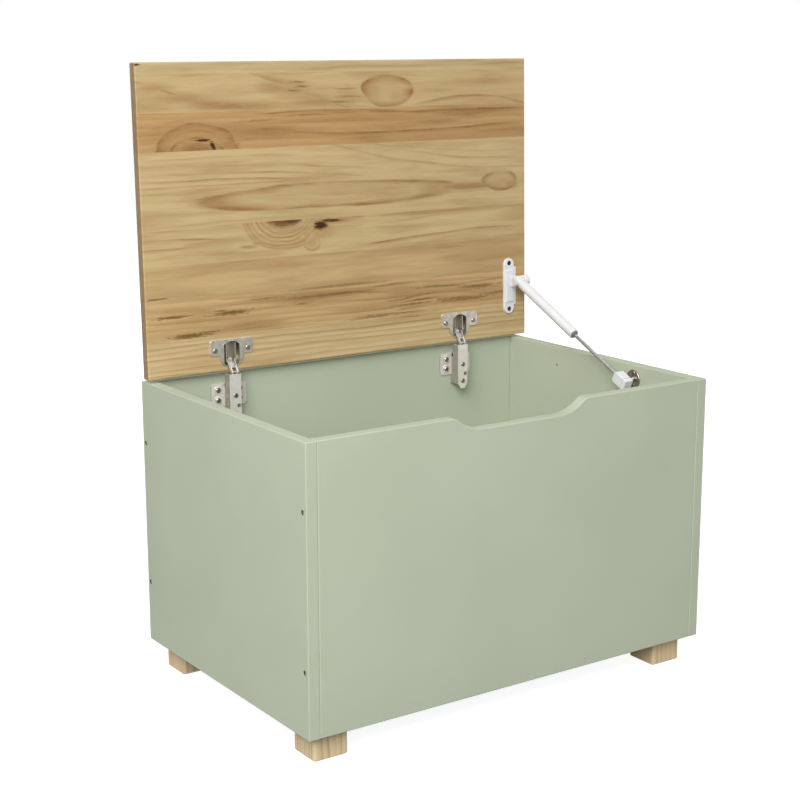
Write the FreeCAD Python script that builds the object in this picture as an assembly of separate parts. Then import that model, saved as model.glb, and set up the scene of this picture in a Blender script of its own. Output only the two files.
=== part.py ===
import FreeCAD
import Part
import math
import os

V = FreeCAD.Vector

# Blanket chest: painted board carcass on pine feet, edge-glued pine lid on two concealed
# hinges, and a lid strut on the right. Millimetres, +Z up, front towards -Y, origin on the
# floor under the middle of the chest. The lid is stored open, leaning just past upright.

# Carcass boards
chest_width = 600.0
chest_depth = 400.0
carcass_height = 346.0
board = 15.0
edge_ease = 1.2

# Hand notch in the front panel's upper edge
notch_width = 207.0
notch_floor = 112.0
notch_depth = 17.0
notch_shoulder = 16.0

# Corner screws and base dowels
corner_screw_inset = 80.0
corner_screw_length = 45.0
corner_screw_head = 3.0
corner_screw_head_height = 3.0
corner_screw_shank = 2.0
corner_screw_sink = 2.0
dowel_radius = 4.0
dowel_length = 24.0
dowel_end_inset = 70.0
dowels_per_edge = 3

# Feet
foot_height = 35.0
foot_side = 46.0
foot_inset = 16.0
foot_corner = 4.0
foot_ease = 2.0
foot_screw_head = 5.0
foot_screw_head_height = 2.5
foot_screw_shank = 2.5
foot_screw_sink = 12.0
foot_screw_bite = 11.0

# Lid board and its two resting places
lid_overhang = 3.0
lid_front_setback = 4.2
lid_thickness = 14.0
lid_ease = 2.0
full_staves = 8
last_stave_share = 0.31
lid_lean = 1.5
lid_open_reach = 12.0
lid_open_lift = 4.4
lid_back_cover = 12.2
lid_shut_gap = 1.6

# Screws of the fittings
screw_head = 3.4
screw_head_height = 1.6
screw_shank = 1.7
screw_length = 10.0
recess_width = 0.9
recess_depth = 0.9
recess_share = 0.62
bevel_share = 0.45

# Hinge cup and its flange
hinge_inset = 116.5
cup_radius = 17.5
cup_depth = 12.0
cup_wall = 1.0
cup_bore_gap = 0.1
cup_edge = 5.0
cup_mouth = 22.6
mouth_bead = 1.3
mouth_bead_height = 0.5
flange_width = 63.0
flange_height = 21.0
flange_below_centre = 1.5
flange_sheet = 1.2
flange_rim = 0.8
flange_corner = 4.0
flange_ease = 0.4
flange_screw_spacing = 48.0
flange_screw_offset = 6.0

# Hinge links and pins: cup pins as distance from the lid's back edge and depth in the lid,
# arm pins by their distance from the point that the lid seems to turn about
pin_radius = 0.9
pin_clearance = 0.05
outer_cup_pin_edge = 13.4
outer_cup_pin_depth = 3.2
outer_arm_pin_distance = 22.9
inner_cup_pin_edge = 13.8
inner_cup_pin_depth = 6.8
inner_arm_pin_distance = 16.6
link_eye = 1.9
link_side_gap = 0.4
inner_link_width = 5.2
inner_link_half = 0.6
inner_strap_width = 8.6
inner_strap_start = 3.6
inner_strap_end = 7.9
inner_slot_travel = 1.6
inner_slot_half = 2.0
inner_slot_wall = 0.8
ear_sheet = 1.2
outer_link_sheet = 1.2
outer_link_half = 1.2
lug_sheet = 1.0
lug_margin = 1.9
lip_notch_half = 6.3
lip_notch_depth = 2.8
lip_notch_length = 3.5

# Hinge arm
arm_standoff = 21.0
arm_width = 17.0
arm_sheet = 1.2
arm_rise = 1.0
arm_length = 63.0
arm_cheek = 12.0
arm_taper_width = 5.0
arm_taper_height = 8.0
arm_ease = 0.8
arm_hole = 5.0
arm_slot = 5.0
arm_slot_drop = 41.0
arm_slot_shift = 2.0
ear_behind_pin = 4.0
ear_root = 17.0

# Hinge mounting plate
plate_width = 52.0
plate_height = 30.0
plate_sheet = 2.0
plate_top_drop = 14.0
plate_corner = 5.0
plate_boss = 5.0
plate_boss_height = 1.0
saddle_width = 13.0
saddle_wall = 2.5
saddle_end_gap = 6.0
saddle_ear_gap = 2.0
plate_screw_spread = 16.0
plate_screw_drops = (21.5, 35.0)
adjuster_drops = (27.0, 51.0)
adjuster_head = 3.3
adjuster_head_height = 1.0
adjuster_length = 3.3

# Strut bracket on the lid
bracket_side_gap = 13.5
bracket_width = 18.0
bracket_step = 3.5
bracket_step_inset = 12.8
bracket_step_sheet = 2.0
bracket_length = 80.0
bracket_low = 32.0
bracket_sheet = 3.0
bracket_pad_height = 2.0
bracket_pad_width = 13.0
bracket_pad_inset = 17.0
bracket_screw_inset = 7.0
bracket_ease = 0.8
pivot_edge = 83.0
pivot_standoff = 32.5
pivot_pin_radius = 2.5
pivot_pin_head = 4.0
pivot_pin_head_height = 0.8
bracket_arm_radius = 7.3
bracket_arm_gap = 0.6
bracket_arm_root = 76.5
bracket_arm_side_gap = 3.5
bracket_arm_ease = 1.5

# Strut cylinder and rod
strut_side_gap = 20.0
eye_radius = 7.0
eye_ease = 1.5
cylinder_radius = 7.0
cylinder_bore = 5.0
cylinder_end = 137.0
cylinder_shoulder = 9.5
cylinder_bore_start = 60.0
cylinder_ease = 1.0
gland_depth = 6.0
gland_lip = 2.0
gland_lip_radius = 4.4
rod_radius = 2.4
rod_clearance = 0.06
piston_length = 6.0
piston_rest_gap = 0.3

# Rod end, ball stud and stud plate on the right panel
stud_from_back = 265.5
stud_below_rim = 19.0
rod_end_length = 13.0
rod_end_width = 16.0
rod_end_thick = 14.0
rod_end_tail = 12.0
rod_end_ease = 1.5
rod_end_shoulder = 4.5
rod_end_groove = 0.9
rod_end_groove_tail = 7.0
rod_end_grip = 6.0
stud_radius = 4.0
stud_neck = 2.6
stud_collar = 3.0
stud_gap = 0.3
stud_plate_radius = 12.5
stud_plate_sheet = 2.0
stud_plate_ease = 0.6
stud_plate_screw_spread = 8.0
spare_hole_from_back = 106.5
spare_hole_below_rim = 25.7
spare_hole_radius = 1.6
spare_hole_depth = 8.0

# One overrun serves all cuts that pass a surface
overrun = 1.0

# Places worked out from the sizes
rim = foot_height + carcass_height
front_face = -chest_depth / 2
back_inner = chest_depth / 2 - board
side_inner = chest_width / 2 - board
lid_width = chest_width + 2 * lid_overhang
lid_depth = chest_depth - board + lid_back_cover - lid_front_setback
stave_width = lid_depth / (full_staves + last_stave_share)
lid_turn = 90 + lid_lean
cup_centre = cup_edge + cup_radius
flange_low = cup_centre - flange_below_centre
ear_inner = inner_link_width / 2 + link_side_gap
ear_outer = ear_inner + ear_sheet
outer_link_inner = ear_outer + link_side_gap
outer_link_outer = outer_link_inner + outer_link_sheet
lug_inner = outer_link_outer + link_side_gap
arm_front = back_inner - arm_standoff
arm_top = rim + arm_rise
strut_x = side_inner - strut_side_gap
bracket_x = side_inner - bracket_side_gap
bracket_arm_inner = strut_x + cylinder_radius + bracket_arm_gap
bracket_arm_outer = side_inner - bracket_arm_side_gap
open_edge = V(0, back_inner - lid_open_reach, rim + lid_open_lift)
shut_edge = V(0, back_inner + lid_back_cover, rim + lid_shut_gap)

# Screw kinds: head radius, head height, shank radius, length under the head, sink of the head
corner_screw = (corner_screw_head, corner_screw_head_height, corner_screw_shank, corner_screw_length,
                corner_screw_sink + corner_screw_head_height)
foot_screw = (foot_screw_head, foot_screw_head_height, foot_screw_shank,
              foot_height - foot_screw_sink + foot_screw_bite, foot_screw_sink)
fitting_screw = (screw_head, screw_head_height, screw_shank, screw_length, 0)
flush_screw = (screw_head, screw_head_height, screw_shank, screw_length, screw_head_height)
adjuster = (adjuster_head, adjuster_head_height, arm_hole / 2, arm_sheet + adjuster_length, 0)


# Small builders

def box(x0, x1, y0, y1, z0, z1):
    return Part.makeBox(x1 - x0, y1 - y0, z1 - z0, V(x0, y0, z0))


def eased(shape, radius):
    return shape.makeFillet(radius, shape.Edges)


def upright_edges(shape):
    return [e for e in shape.Edges if e.BoundBox.XLength + e.BoundBox.YLength < e.BoundBox.ZLength / 2]


def cross_rod(point, radius, x0, x1):
    return Part.makeCylinder(radius, x1 - x0, V(x0, point.y, point.z), V(1, 0, 0))


def slot_prism(p, q, radius, x0, x1):
    along = (q - p).normalize() * radius
    side = V(0, -along.z, along.y)
    p = V(x0, p.y, p.z)
    q = V(x0, q.y, q.z)
    edges = [
        Part.makeLine(p + side, q + side),
        Part.Arc(q + side, q + along, q - side).toShape(),
        Part.makeLine(q - side, p - side),
        Part.Arc(p - side, p - along, p + side).toShape(),
    ]
    return Part.Face(Part.Wire(edges)).extrude(V(x1 - x0, 0, 0))


def mirrored_pair(shape):
    return [shape, shape.mirror(V(0, 0, 0), V(1, 0, 0))]


def moved(shape, x=0.0, y=0.0, z=0.0):
    copy = shape.copy()
    copy.translate(V(x, y, z))
    return copy


def aimed(shape, point, out):
    copy = shape.copy()
    copy.Placement = FreeCAD.Placement(point, FreeCAD.Rotation(V(0, 0, 1), out))
    return copy


def group(shapes):
    return Part.makeCompound(shapes)


def one(shape):
    return shape.removeSplitter()


# Screws: local z points out of the surface, and a sunk head has its underside below it

def screw(point, out, kind):
    head, height, shank, length, sink = kind
    shape = Part.makeCylinder(head, height)
    shape = shape.makeChamfer(height * bevel_share, [e for e in shape.Edges if e.BoundBox.ZMin > height / 2])
    shape = shape.fuse([Part.makeCylinder(shank, length - shank, V(0, 0, shank - length)),
                        Part.makeCone(0, shank, shank, V(0, 0, -length))])
    arm = head * recess_share
    for half_x, half_y in ((arm, recess_width / 2), (recess_width / 2, arm)):
        shape = shape.cut(box(-half_x, half_x, -half_y, half_y, height - recess_depth, height + overrun))
    shape.translate(V(0, 0, -sink))
    return aimed(one(shape), point, out)


def screw_hole(point, out, kind):
    head, height, shank, length, sink = kind
    hole = Part.makeCylinder(shank, length, V(0, 0, -length))
    if sink:
        hole = hole.fuse(Part.makeCylinder(head, sink + overrun))
    hole.translate(V(0, 0, -sink))
    return aimed(one(hole), point, out)


# Carcass

def corner_spots():
    spots = []
    for side in (-1, 1):
        for y in (front_face + board / 2, -front_face - board / 2):
            for z in (foot_height + corner_screw_inset, rim - corner_screw_inset):
                spots.append((V(side * chest_width / 2, y, z), V(side, 0, 0)))
    return spots


def base_dowels():
    dowels = []
    z = foot_height + board / 2
    half = dowel_length / 2
    for k in range(dowels_per_edge):
        share = 2 * k / (dowels_per_edge - 1) - 1
        x = share * (side_inner - dowel_end_inset)
        y = share * (back_inner - dowel_end_inset)
        for side in (-1, 1):
            for start, way in (
                (V(x, side * back_inner - half, z), V(0, 1, 0)),
                (V(side * side_inner - half, y, z), V(1, 0, 0)),
            ):
                dowels.append(Part.makeCylinder(dowel_radius, dowel_length, start, way))
    return dowels


def side_panel(side):
    outer = chest_width / 2
    panel = box(side_inner, outer, front_face, -front_face, foot_height, rim)
    panel = eased(panel, edge_ease)
    if side < 0:
        panel = panel.mirror(V(0, 0, 0), V(1, 0, 0))
    return panel


def front_panel():
    half, floor, radius = notch_width / 2, notch_floor / 2, notch_shoulder
    run = half - floor
    bend = 2 * math.atan2(notch_depth, run)
    sweep = run / math.sin(bend) - radius
    low = rim - notch_depth

    def rim_bend(angle, side):
        return V(side * (half - radius * math.sin(angle)), front_face, rim - radius * (1 - math.cos(angle)))

    def floor_bend(angle, side):
        return V(side * (floor + sweep * math.sin(angle)), front_face, low + sweep * (1 - math.cos(angle)))

    def corner(side, z):
        return V(side * side_inner, front_face, z)

    edges = [
        Part.makeLine(corner(1, rim), corner(1, foot_height)),
        Part.makeLine(corner(1, foot_height), corner(-1, foot_height)),
        Part.makeLine(corner(-1, foot_height), corner(-1, rim)),
        Part.makeLine(corner(-1, rim), rim_bend(0, -1)),
        Part.Arc(rim_bend(0, -1), rim_bend(bend / 2, -1), rim_bend(bend, -1)).toShape(),
        Part.Arc(floor_bend(bend, -1), floor_bend(bend / 2, -1), floor_bend(0, -1)).toShape(),
        Part.makeLine(floor_bend(0, -1), floor_bend(0, 1)),
        Part.Arc(floor_bend(0, 1), floor_bend(bend / 2, 1), floor_bend(bend, 1)).toShape(),
        Part.Arc(rim_bend(bend, 1), rim_bend(bend / 2, 1), rim_bend(0, 1)).toShape(),
        Part.makeLine(rim_bend(0, 1), corner(1, rim)),
    ]
    panel = Part.Face(Part.Wire(edges)).extrude(V(0, board, 0))
    return eased(panel, edge_ease)


def back_panel():
    return eased(box(-side_inner, side_inner, back_inner, -front_face, foot_height, rim), edge_ease)


def base_panel():
    return box(-side_inner, side_inner, -back_inner, back_inner, foot_height, foot_height + board)


def foot_spots():
    x = chest_width / 2 - foot_inset - foot_side / 2
    y = chest_depth / 2 - foot_inset - foot_side / 2
    return {
        "front_left": V(-x, -y, 0),
        "front_right": V(x, -y, 0),
        "back_left": V(-x, y, 0),
        "back_right": V(x, y, 0),
    }


def foot(spot):
    half = foot_side / 2
    block = box(-half, half, -half, half, 0, foot_height)
    block = block.makeFillet(foot_corner, upright_edges(block))
    block = block.makeFillet(foot_ease, [e for e in block.Edges if e.BoundBox.ZMax < foot_height / 2])
    block.translate(spot)
    return block.cut(screw_hole(spot, V(0, 0, -1), foot_screw))


# Lid pieces are built with the underside facing up: x across, y from the back edge, z out of
# the wood. lid_placed then stands them in the open place.

def lid_placed(shape):
    copy = shape.copy()
    stand = FreeCAD.Placement(open_edge, FreeCAD.Rotation(V(1, 0, 0), 90 - lid_lean))
    copy.Placement = stand.multiply(copy.Placement)
    return copy


def lid_point(edge, depth):
    return open_edge + FreeCAD.Rotation(V(1, 0, 0), 90 - lid_lean).multVec(V(0, edge, -depth))


def lid_board():
    half = lid_width / 2
    return eased(box(-half, half, 0, lid_depth, -lid_thickness, 0), lid_ease)


def lid_staves(cuts):
    panel = lid_board().cut(cuts)
    half = lid_width / 2
    staves = []
    for k in range(full_staves + 1):
        start = k * stave_width
        end = min(start + stave_width, lid_depth)
        staves.append(lid_placed(panel.common(box(-half, half, start, end, -lid_thickness, 0))))
    return staves


# Hinge linkage: the pole is the point about which one turn takes the open lid to its shut place

def about(point, centre, degrees):
    return centre + FreeCAD.Rotation(V(1, 0, 0), degrees).multVec(point - centre)


def lid_pole():
    step = shut_edge - open_edge
    side = V(0, -step.z, step.y)
    return (open_edge + shut_edge) * 0.5 + side * (0.5 / math.tan(math.radians(lid_turn / 2)))


def arm_pin(cup_pin, distance):
    pole = lid_pole()
    spoke = (cup_pin - pole).normalize() * distance
    return about(pole + spoke, pole, lid_turn / 2)


def link_turn(arm, cup):
    before = cup - arm
    after = about(cup, lid_pole(), lid_turn) - arm
    return math.degrees(math.atan2(before.y * after.z - before.z * after.y, before.dot(after)))


outer_cup = lid_point(outer_cup_pin_edge, outer_cup_pin_depth)
outer_arm = arm_pin(outer_cup, outer_arm_pin_distance)
inner_cup = lid_point(inner_cup_pin_edge, inner_cup_pin_depth)
inner_arm = arm_pin(inner_cup, inner_arm_pin_distance)


def outer_link():
    cheek = slot_prism(outer_arm, outer_cup, outer_link_half, outer_link_inner, outer_link_outer)
    for pin in (outer_arm, outer_cup):
        cheek = cheek.fuse(cross_rod(pin, link_eye, outer_link_inner, outer_link_outer))
    for pin in (outer_arm, outer_cup):
        cheek = cheek.cut(cross_rod(pin, pin_radius + pin_clearance, -arm_width, arm_width))
    return group(mirrored_pair(one(cheek)))


def inner_link():
    half = inner_link_width / 2
    way = (inner_cup - inner_arm).normalize()
    far = inner_cup + way * inner_slot_travel
    strap = inner_strap_width / 2
    link = slot_prism(inner_arm, inner_cup, inner_link_half, -half, half)
    link = link.fuse(slot_prism(inner_arm + way * inner_strap_start, inner_arm + way * inner_strap_end,
                                inner_link_half, -strap, strap))
    link = link.fuse(cross_rod(inner_arm, link_eye, -half, half))
    link = link.fuse(slot_prism(inner_cup, far, inner_slot_half + inner_slot_wall, -half, half))
    link = link.cut(cross_rod(inner_arm, pin_radius + pin_clearance, -arm_width, arm_width))
    link = link.cut(slot_prism(inner_cup, far, inner_slot_half, -arm_width, arm_width))
    return one(link)


def hinge_arm():
    half = arm_width / 2
    low = arm_top - arm_length
    outline = [
        V(-half, arm_front, arm_top),
        V(half, arm_front, arm_top),
        V(half, arm_front, low + arm_taper_height),
        V(half - arm_taper_width, arm_front, low),
        V(arm_taper_width - half, arm_front, low),
        V(-half, arm_front, low + arm_taper_height),
        V(-half, arm_front, arm_top),
    ]
    solid = Part.Face(Part.makePolygon(outline)).extrude(V(0, arm_cheek, 0))
    long_edges = [e for e in upright_edges(solid) if e.BoundBox.YMax < arm_front + arm_sheet]
    arm = solid.makeFillet(arm_ease, long_edges)
    inside = box(arm_sheet - half, half - arm_sheet, arm_front + arm_sheet, arm_front + arm_cheek + overrun,
                 low - overrun, arm_top + overrun)
    arm = arm.cut(inside)
    ear = slot_prism(outer_arm, inner_arm, link_eye, ear_inner, ear_outer)
    root_back = outer_arm.y + ear_behind_pin
    root = box(ear_inner, ear_outer, arm_front + arm_sheet, root_back, arm_top - ear_root, outer_arm.z)
    root = root.cut(box(-half, half, arm_front, outer_arm.y, arm_top, outer_arm.z + overrun))
    left, right = mirrored_pair(one(ear.fuse(root)))
    arm = arm.fuse([left, right])
    for pin in (outer_arm, inner_arm):
        arm = arm.cut(cross_rod(pin, pin_radius, -half, half))
    arm = arm.cut([screw_hole(spot, out, adjuster) for spot, out in adjuster_spots()])
    slot_x = arm_slot_shift
    slot_z = rim - arm_slot_drop
    slot = box(slot_x, slot_x + arm_slot, arm_front - overrun, arm_front + arm_sheet + overrun,
               slot_z - arm_slot / 2, slot_z + arm_slot / 2)
    return one(arm.cut(slot))


def arm_pins():
    long_pin = cross_rod(outer_arm, pin_radius, -outer_link_outer, outer_link_outer)
    short_pin = cross_rod(inner_arm, pin_radius, -ear_outer, ear_outer)
    return [long_pin, short_pin]


def adjuster_spots():
    return [(V(0, arm_front, rim - drop), V(0, -1, 0)) for drop in adjuster_drops]


def plate_spots():
    face = back_inner - plate_sheet - plate_boss_height
    return [(V(side * plate_screw_spread, face, rim - drop), V(0, -1, 0))
            for side in (-1, 1) for drop in plate_screw_drops]


def hinge_plate():
    half = plate_width / 2
    top = rim - plate_top_drop
    wing = box(-half, half, back_inner - plate_sheet, back_inner, top - plate_height, top)
    corners = [e for e in wing.Edges if e.BoundBox.YLength > plate_sheet / 2]
    plate = wing.makeFillet(plate_corner, corners)
    for spot, out in plate_spots():
        plate = plate.fuse(Part.makeCylinder(plate_boss, plate_boss_height, spot, V(0, 1, 0)))
    low = arm_top - arm_length + saddle_end_gap
    high = arm_top - ear_root - saddle_ear_gap
    saddle = box(-saddle_width / 2, saddle_width / 2, arm_front + arm_sheet, back_inner, low, high)
    hollow_half = saddle_width / 2 - saddle_wall
    hollow = box(-hollow_half, hollow_half, arm_front + arm_sheet + saddle_wall, back_inner + overrun,
                 low + saddle_wall, high - saddle_wall)
    plate = plate.fuse(saddle).cut(hollow)
    plate = plate.cut([screw_hole(spot, out, fitting_screw) for spot, out in plate_spots()])
    return one(plate.cut([screw_hole(spot, out, adjuster) for spot, out in adjuster_spots()]))


def cup_spots():
    edge = cup_centre + flange_screw_offset
    return [(V(side * flange_screw_spacing / 2, edge, flange_sheet), V(0, 0, 1)) for side in (-1, 1)]


def cup_bore():
    return Part.makeCylinder(cup_radius + cup_bore_gap, cup_depth + overrun, V(0, cup_centre, -cup_depth))


def hinge_cup():
    half = flange_width / 2
    centre = V(0, cup_centre, 0)
    wings = box(-half, half, flange_low, flange_low + flange_height, 0, flange_sheet)
    wings = wings.makeFillet(flange_corner, upright_edges_of_sheet(wings))
    flange = one(wings.fuse(Part.makeCylinder(cup_radius + flange_rim, flange_sheet, centre)))
    upper = [e for e in flange.Edges if e.BoundBox.ZMin > flange_sheet / 2]
    flange = flange.makeChamfer(flange_ease, upper)
    inner = cup_radius - cup_wall
    half_mouth = cup_mouth / 2
    shell = Part.makeCylinder(cup_radius, cup_depth, V(0, cup_centre, -cup_depth))
    bead = Part.makeCylinder(inner + mouth_bead, flange_sheet + mouth_bead_height, centre)
    bead = bead.common(box(-half_mouth - mouth_bead, half_mouth + mouth_bead, flange_low, lid_depth,
                           0, flange_width))
    cup = shell.fuse([flange, bead])
    cup = cup.cut(Part.makeCylinder(inner, cup_depth - cup_wall, V(0, cup_centre, cup_wall - cup_depth)))
    mouth = Part.makeCylinder(inner, 2 * flange_sheet, V(0, cup_centre, -flange_sheet / 2))
    mouth = mouth.common(box(-half_mouth, half_mouth, 0, flange_width, -flange_sheet, 2 * flange_sheet))
    cup = cup.cut(mouth)
    notch = box(-lip_notch_half, lip_notch_half, 0, cup_edge + lip_notch_length,
                -lip_notch_depth, flange_sheet + overrun)
    cup = cup.cut(notch)
    floor = cup_wall - cup_depth
    wall_end = cup_centre + math.sqrt(inner ** 2 - (lug_inner + lug_sheet) ** 2) - cup_wall
    wall = box(lug_inner, lug_inner + lug_sheet, outer_cup_pin_edge - lug_margin, wall_end,
               floor, lug_margin - outer_cup_pin_depth)
    lug = box(ear_inner, ear_outer, inner_cup_pin_edge - lug_margin, inner_cup_pin_edge + lug_margin,
              floor, lug_margin - inner_cup_pin_depth)
    cup = cup.fuse(mirrored_pair(wall) + mirrored_pair(lug))
    for edge, depth in ((outer_cup_pin_edge, outer_cup_pin_depth), (inner_cup_pin_edge, inner_cup_pin_depth)):
        cup = cup.cut(cross_rod(V(0, edge, -depth), pin_radius, -arm_width / 2, arm_width / 2))
    return one(cup.cut([screw_hole(spot, out, fitting_screw) for spot, out in cup_spots()]))


def upright_edges_of_sheet(shape):
    return [e for e in shape.Edges if e.BoundBox.ZLength > flange_sheet / 2]


def cup_pins():
    outer = V(0, outer_cup_pin_edge, -outer_cup_pin_depth)
    inner = V(0, inner_cup_pin_edge, -inner_cup_pin_depth)
    stub = cross_rod(outer, pin_radius, outer_link_inner, lug_inner + lug_sheet)
    return mirrored_pair(stub) + [cross_rod(inner, pin_radius, -ear_outer, ear_outer)]


# Strut: local z runs from the lid pivot to the ball stud

pivot = lid_point(pivot_edge, -pivot_standoff)
stud = V(0, back_inner - stud_from_back, rim - stud_below_rim)
strut_length = (stud - pivot).Length
shut_pivot = about(pivot, lid_pole(), lid_turn)
strut_travel = strut_length - (stud - shut_pivot).Length


def strut_placed(shape):
    copy = shape.copy()
    way = (stud - pivot).normalize()
    lean = math.degrees(math.atan2(-way.y, way.z))
    spot = V(strut_x, pivot.y, pivot.z)
    place = FreeCAD.Placement(spot, FreeCAD.Rotation(V(1, 0, 0), lean))
    copy.Placement = place.multiply(copy.Placement)
    return copy


def bracket_spots():
    edges = (bracket_low + bracket_screw_inset, bracket_low + bracket_length - bracket_screw_inset)
    return [(V(bracket_x, edge, bracket_sheet), V(0, 0, 1)) for edge in edges]


def lid_bracket():
    half = bracket_width / 2
    low = bracket_low + half
    high = bracket_low + bracket_length - half
    plate = box(-half, half, low, high, 0, bracket_sheet)
    for y in (low, high):
        plate = plate.fuse(Part.makeCylinder(half, bracket_sheet, V(0, y, 0)))
    plate = one(plate)
    plate = plate.makeChamfer(bracket_ease, [e for e in plate.Edges if e.BoundBox.ZMin > bracket_sheet / 2])
    step = box(0, half + bracket_step, bracket_low + bracket_step_inset,
               bracket_low + bracket_length - bracket_step_inset, 0, bracket_step_sheet)
    plate = plate.fuse(step)
    pad_half = bracket_pad_width / 2
    pad = box(-pad_half, pad_half, bracket_low + bracket_pad_inset,
              bracket_low + bracket_length - bracket_pad_inset, 0, bracket_sheet + bracket_pad_height)
    top_edges = [e for e in pad.Edges if e.BoundBox.ZMin > bracket_sheet]
    plate = plate.fuse(pad.makeChamfer(bracket_ease, top_edges))
    plate = moved(plate, bracket_x)
    hub = V(0, pivot_edge, pivot_standoff)
    root = V(0, bracket_arm_root, 0)
    arm = slot_prism(root, hub, bracket_arm_radius, bracket_arm_inner, bracket_arm_outer)
    arm = arm.common(box(0, chest_width, 0, lid_depth, 0, lid_depth))
    sides = [e for e in arm.Edges if e.BoundBox.ZMax > bracket_arm_radius and e.BoundBox.XLength < overrun]
    plate = plate.fuse(arm.makeFillet(bracket_arm_ease, sides))
    bore_end = bracket_arm_outer + overrun
    plate = plate.cut(cross_rod(hub, pivot_pin_radius, bracket_arm_inner - overrun, bore_end))
    return one(plate.cut([screw_hole(spot, out, flush_screw) for spot, out in bracket_spots()]))


def pivot_pin():
    hub = V(0, pivot_edge, pivot_standoff)
    start = strut_x - cylinder_radius
    head_start = start - pivot_pin_head_height
    pin = cross_rod(hub, pivot_pin_radius, head_start, bracket_arm_outer)
    return one(pin.fuse(cross_rod(hub, pivot_pin_head, head_start, start - pin_clearance)))


def strut_cylinder():
    half = cylinder_radius
    zero = V(0, 0, 0)
    tube = Part.makeCylinder(cylinder_radius, cylinder_end - cylinder_shoulder, V(0, 0, cylinder_shoulder))
    ends = [e for e in tube.Edges if e.BoundBox.ZLength < cylinder_ease]
    tube = tube.makeFillet(cylinder_ease, ends)
    eye = cross_rod(zero, eye_radius, -half, half)
    eye = eye.makeFillet(eye_ease, [e for e in eye.Edges if e.BoundBox.XLength < overrun])
    neck = Part.makeCylinder(eye_radius - eye_ease, cylinder_shoulder + cylinder_radius)
    tube = tube.fuse([eye, neck])
    tube = tube.cut(cross_rod(zero, pivot_pin_radius + pin_clearance, -arm_width, arm_width))
    bore = cylinder_end - cylinder_bore_start + overrun
    return one(tube.cut(Part.makeCylinder(cylinder_bore, bore, V(0, 0, cylinder_bore_start))))


def strut_gland():
    bush = Part.makeCylinder(cylinder_bore, gland_depth, V(0, 0, cylinder_end - gland_depth))
    bush = bush.fuse(Part.makeCylinder(gland_lip_radius, gland_lip, V(0, 0, cylinder_end)))
    height = gland_depth + gland_lip + 2 * overrun
    start = V(0, 0, cylinder_end - gland_depth - overrun)
    return one(bush.cut(Part.makeCylinder(rod_radius + rod_clearance, height, start)))


def strut_rod():
    piston_end = cylinder_end - gland_depth - piston_rest_gap
    piston_start = piston_end - piston_length
    rod_end = strut_length - rod_end_length + rod_end_grip
    piston = Part.makeCylinder(cylinder_bore - rod_clearance, piston_length, V(0, 0, piston_start))
    rod = Part.makeCylinder(rod_radius, rod_end - piston_start, V(0, 0, piston_start))
    return one(piston.fuse(rod))


def ball_stud():
    reach = strut_side_gap - stud_plate_sheet - stud_gap
    ball = Part.makeSphere(stud_radius, V(0, 0, strut_length), V(1, 0, 0))
    neck = Part.makeCylinder(stud_neck, reach, V(0, 0, strut_length), V(1, 0, 0))
    collar = Part.makeCylinder(stud_radius, stud_collar, V(reach - stud_collar, 0, strut_length), V(1, 0, 0))
    return one(ball.fuse([neck, collar]))


def rod_end():
    half_x = rod_end_thick / 2
    half_y = rod_end_width / 2
    start = strut_length - rod_end_length
    end = strut_length + rod_end_tail
    block = box(-half_x, half_x, -half_y, half_y, start, end)
    shoulders = [e for e in block.Edges if e.BoundBox.ZMax < start + overrun and e.BoundBox.XLength > half_x]
    block = block.makeFillet(rod_end_shoulder, shoulders)
    block = eased(block, rod_end_ease)
    groove_low = end - rod_end_groove_tail
    band = box(-rod_end_thick, rod_end_thick, -rod_end_width, rod_end_width,
               groove_low, groove_low + rod_end_groove)
    band = band.cut(box(rod_end_groove - half_x, half_x - rod_end_groove, rod_end_groove - half_y,
                        half_y - rod_end_groove, start, end))
    block = block.cut(ball_stud())
    return one(block.cut(strut_rod()).cut(band))


def stud_centre():
    return V(side_inner - stud_plate_sheet, stud.y, stud.z)


def stud_plate_spots():
    offset = V(0, 0, stud_plate_screw_spread)
    return [(stud_centre() - offset, V(-1, 0, 0)), (stud_centre() + offset, V(-1, 0, 0))]


def stud_plate():
    disc = Part.makeCylinder(stud_plate_radius, stud_plate_sheet, stud_centre(), V(1, 0, 0))
    front_edge = [e for e in disc.Edges if e.BoundBox.XMax < side_inner - stud_plate_sheet / 2]
    disc = disc.makeChamfer(stud_plate_ease, front_edge)
    return one(disc.cut([screw_hole(spot, out, flush_screw) for spot, out in stud_plate_spots()]))


def spare_hole():
    spot = V(side_inner - overrun, back_inner - spare_hole_from_back, rim - spare_hole_below_rim)
    return Part.makeCylinder(spare_hole_radius, spare_hole_depth + overrun, spot, V(1, 0, 0))


# Assembly: every node is one STEP file

def screws(spots, kind):
    return group([screw(spot, out, kind) for spot, out in spots])


def holes(spots, kind, x=0.0):
    return [moved(screw_hole(spot, out, kind), x) for spot, out in spots]


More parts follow.
